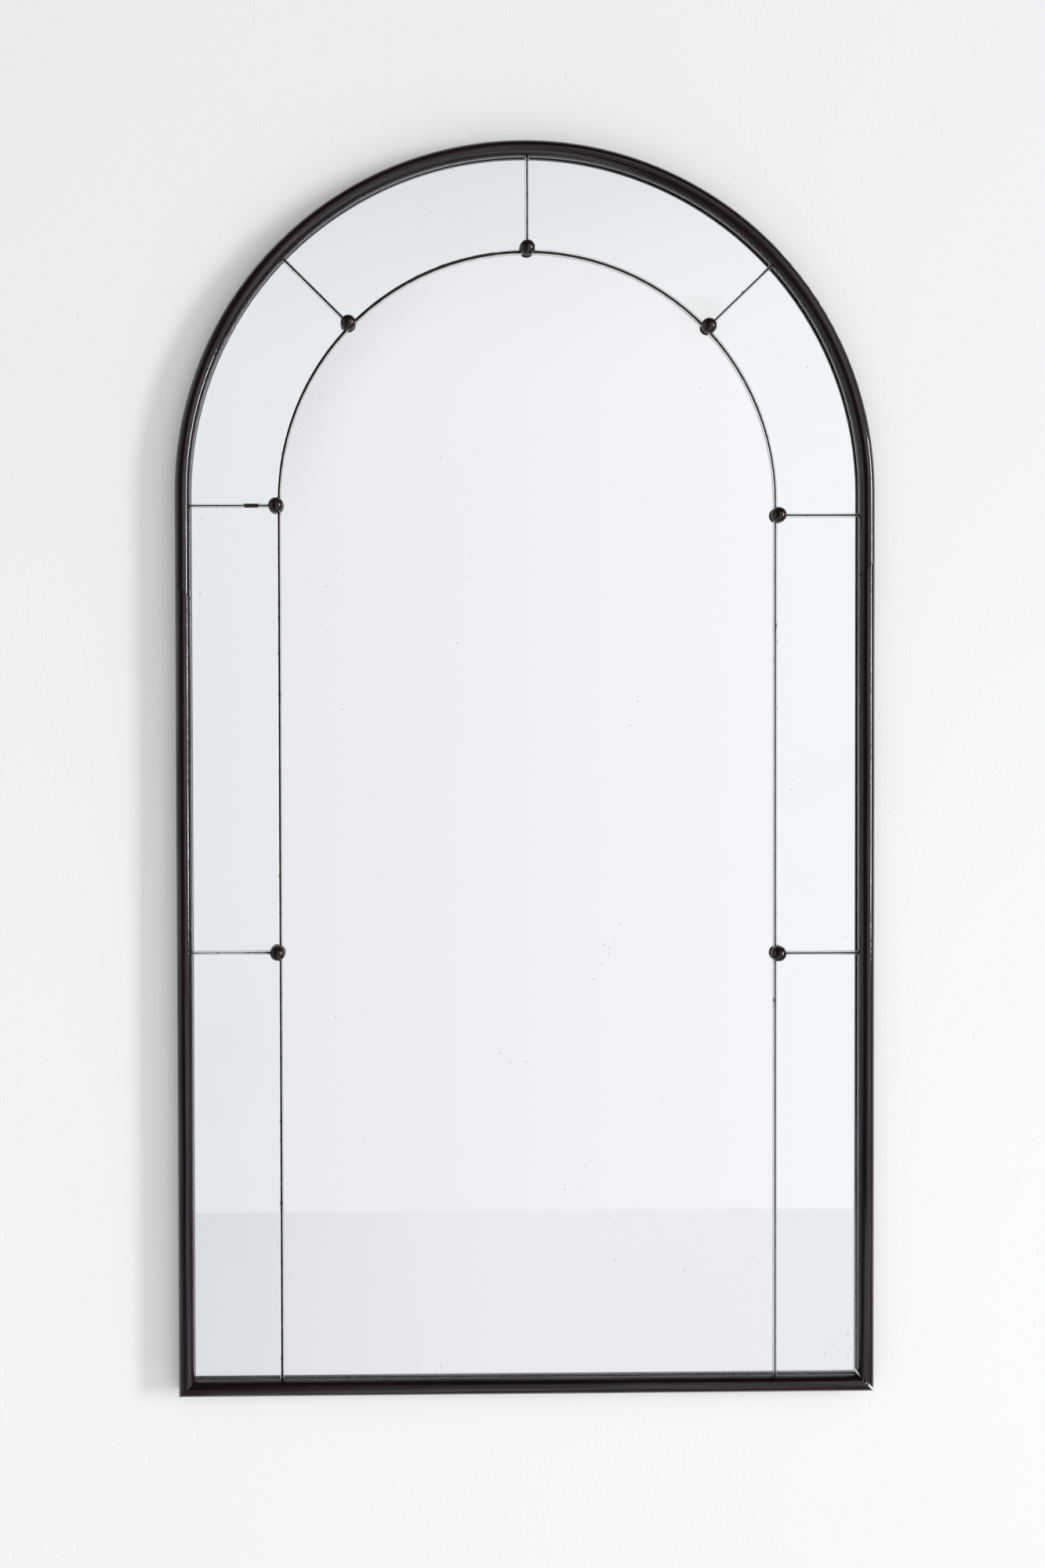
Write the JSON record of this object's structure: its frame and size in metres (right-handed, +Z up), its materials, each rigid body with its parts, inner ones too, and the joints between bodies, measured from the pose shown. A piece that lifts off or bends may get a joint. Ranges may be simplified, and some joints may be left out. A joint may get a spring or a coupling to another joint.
{
  "type": "arched wall mirror",
  "caption": "Arch-topped wall mirror in a dark half-round wood moulding, with a border of cut mirror panes around a large centre pane and turned studs where the panes meet.",
  "frame": {"origin": "midway between the two hanging holes, in the plane of the wall", "axes": "+Z up, +X to the right as seen from the front, +Y into the wall, so the glass faces -Y"},
  "size_m": [0.888, 0.033, 1.592],
  "materials": {
    "frame_wood": "dark satin lacquer, worn at the edges",
    "stud_wood": "gloss lacquer",
    "centre_mirror": "silvered, polished",
    "border_mirror": "aged silver, polished",
    "washer_leather": "matte",
    "felt": "matte",
    "plywood": "raw",
    "screw_steel": "satin",
    "hanger_steel": "satin"
  },
  "bodies": {
    "root": {"arch_frame": "frame_wood", "left_stile": "frame_wood", "right_stile": "frame_wood", "bottom_rail": "frame_wood", "centre_pane": "centre_mirror", "left_lower_pane": "border_mirror", "left_middle_pane": "border_mirror", "left_haunch_pane": "border_mirror", "left_crown_pane": "border_mirror", "right_lower_pane": "border_mirror", "right_middle_pane": "border_mirror", "right_haunch_pane": "border_mirror", "right_crown_pane": "border_mirror", "stud_left_lower": "stud_wood", "stud_left_middle": "stud_wood", "stud_left_haunch": "stud_wood", "stud_crown": "stud_wood", "stud_right_haunch": "stud_wood", "stud_right_middle": "stud_wood", "stud_right_lower": "stud_wood", "stud_washers": "washer_leather", "stud_screws": "screw_steel", "backing_felt": "felt", "back_board": "plywood", "board_screws": "screw_steel", "joint_nails": "screw_steel", "left_hanger": "hanger_steel", "right_hanger": "hanger_steel", "hanger_screws": "screw_steel"}
  },
  "joints": []
}
